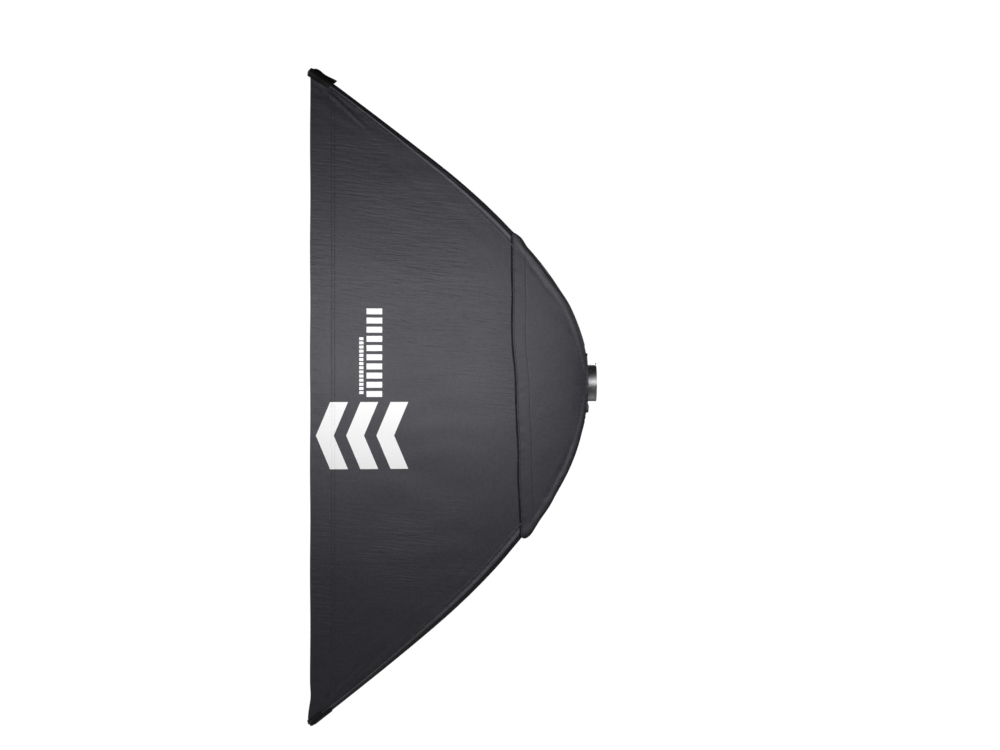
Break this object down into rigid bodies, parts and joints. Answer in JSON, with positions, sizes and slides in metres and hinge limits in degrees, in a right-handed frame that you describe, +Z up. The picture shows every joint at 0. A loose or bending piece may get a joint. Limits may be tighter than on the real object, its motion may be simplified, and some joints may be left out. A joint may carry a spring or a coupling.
{
  "type": "strip softbox",
  "caption": "Tall narrow softbox for a studio flash: a cloth box on bent spring rods, with a turning ring on a lugged bayonet, rear access flaps, inner baffle and front diffuser.",
  "frame": {"origin": "centre of the bayonet adapter's bore, in the plane of the flash head's face", "axes": "+Y back along the bore towards the flash head, +Z up along the box's height, +X to the right as seen from the lit front"},
  "size_m": [0.4078, 0.8064, 1.7996],
  "materials": {
    "nylon_cloth": "fine plain-woven charcoal nylon with a soft sheen, silver coated inside",
    "sleeve_cloth": "the same nylon, doubled and sewn into a tunnel",
    "webbing": "ribbed glossy black webbing",
    "hook_tape": "black hook tape",
    "loop_tape": "black loop tape",
    "diffuser_cloth": "white translucent woven nylon",
    "baffle_cloth": "white translucent woven nylon",
    "cast_ring": "black powder-coated aluminium casting",
    "adapter_metal": "bright turned aluminium",
    "retainer_metal": "satin sheet aluminium",
    "screws": "zinc-plated steel",
    "glide_plastic": "natural acetal",
    "rod_steel": "dark spring steel",
    "ferrule_steel": "plated steel",
    "socket_plastic": "black moulded nylon",
    "tip_plastic": "black moulded cap",
    "snap_metal": "plated press studs"
  },
  "bodies": {
    "adapter": {"bayonet_adapter": "adapter_metal"},
    "box": {"baffle_sheet": "baffle_cloth", "baffle_snaps": "snap_metal", "baffle_straps": "webbing", "corner_pocket_lower_left": "sleeve_cloth", "corner_pocket_lower_right": "sleeve_cloth", "corner_pocket_upper_left": "sleeve_cloth", "corner_pocket_upper_right": "sleeve_cloth", "end_panel_lower": "nylon_cloth", "end_panel_upper": "nylon_cloth", "flap_hook_tape_left": "hook_tape", "flap_hook_tape_right": "hook_tape", "glide_washer": "glide_plastic", "lip_hook_tapes": "hook_tape", "rear_collar": "nylon_cloth", "retainer_screws": "screws", "ring_retainer": "retainer_metal", "rod_ferrule_lower_left": "ferrule_steel", "rod_ferrule_lower_right": "ferrule_steel", "rod_ferrule_upper_left": "ferrule_steel", "rod_ferrule_upper_right": "ferrule_steel", "rod_sleeve_lower_left": "sleeve_cloth", "rod_sleeve_lower_right": "sleeve_cloth", "rod_sleeve_upper_left": "sleeve_cloth", "rod_sleeve_upper_right": "sleeve_cloth", "rod_socket_lower_left": "socket_plastic", "rod_socket_lower_right": "socket_plastic", "rod_socket_upper_left": "socket_plastic", "rod_socket_upper_right": "socket_plastic", "rod_tip_lower_left": "tip_plastic", "rod_tip_lower_right": "tip_plastic", "rod_tip_upper_left": "tip_plastic", "rod_tip_upper_right": "tip_plastic", "side_panel_left": "nylon_cloth", "side_panel_right": "nylon_cloth", "speed_ring": "cast_ring", "spring_rod_lower_left": "rod_steel", "spring_rod_lower_right": "rod_steel", "spring_rod_upper_left": "rod_steel", "spring_rod_upper_right": "rod_steel"},
    "flap_left": {"flap_left": "nylon_cloth", "flap_loop_tape_left": "loop_tape"},
    "flap_right": {"flap_right": "nylon_cloth", "flap_loop_tape_right": "loop_tape"},
    "diffuser": {"diffuser_sheet": "diffuser_cloth", "diffuser_loop_tapes": "loop_tape", "diffuser_pull_tab": "webbing"},
    "tab_upper_left": {"corner_tab_upper_left": "webbing"},
    "tab_upper_right": {"corner_tab_upper_right": "webbing"},
    "tab_lower_left": {"corner_tab_lower_left": "webbing"},
    "tab_lower_right": {"corner_tab_lower_right": "webbing"}
  },
  "joints": [
    {"name": "box_spin", "type": "hinge", "parent": "adapter", "child": "box", "pos_m": [0, 0, 0], "axis": [0, 1, 0], "continuous": true},
    {"name": "flap_left_hinge", "type": "hinge", "parent": "box", "child": "flap_left", "pos_m": [-0.08311, -0.01839, 0], "axis": [0, 0, -1], "range_deg": [0, 110]},
    {"name": "flap_right_hinge", "type": "hinge", "parent": "box", "child": "flap_right", "pos_m": [0.08311, -0.01839, 0], "axis": [0, 0, 1], "range_deg": [0, 110]},
    {"name": "diffuser_lift_off", "type": "slide", "parent": "box", "child": "diffuser", "axis": [0, -1, 0], "range_m": [0, 0.1]},
    {"name": "tab_upper_left_peel", "type": "hinge", "parent": "box", "child": "tab_upper_left", "pos_m": [-0.20144, -0.78445, 0.8507], "axis": [0.0622, 0.5734, 0.8169], "range_deg": [0, 100]},
    {"name": "tab_upper_right_peel", "type": "hinge", "parent": "box", "child": "tab_upper_right", "pos_m": [0.20144, -0.78445, 0.8507], "axis": [0.0622, -0.5734, -0.8169], "range_deg": [0, 100]},
    {"name": "tab_lower_left_peel", "type": "hinge", "parent": "box", "child": "tab_lower_left", "pos_m": [-0.20148, -0.78443, -0.92801], "axis": [-0.0662, -0.6099, 0.7897], "range_deg": [0, 100]},
    {"name": "tab_lower_right_peel", "type": "hinge", "parent": "box", "child": "tab_lower_right", "pos_m": [0.20148, -0.78443, -0.92801], "axis": [-0.0662, 0.6099, -0.7897], "range_deg": [0, 100]}
  ]
}
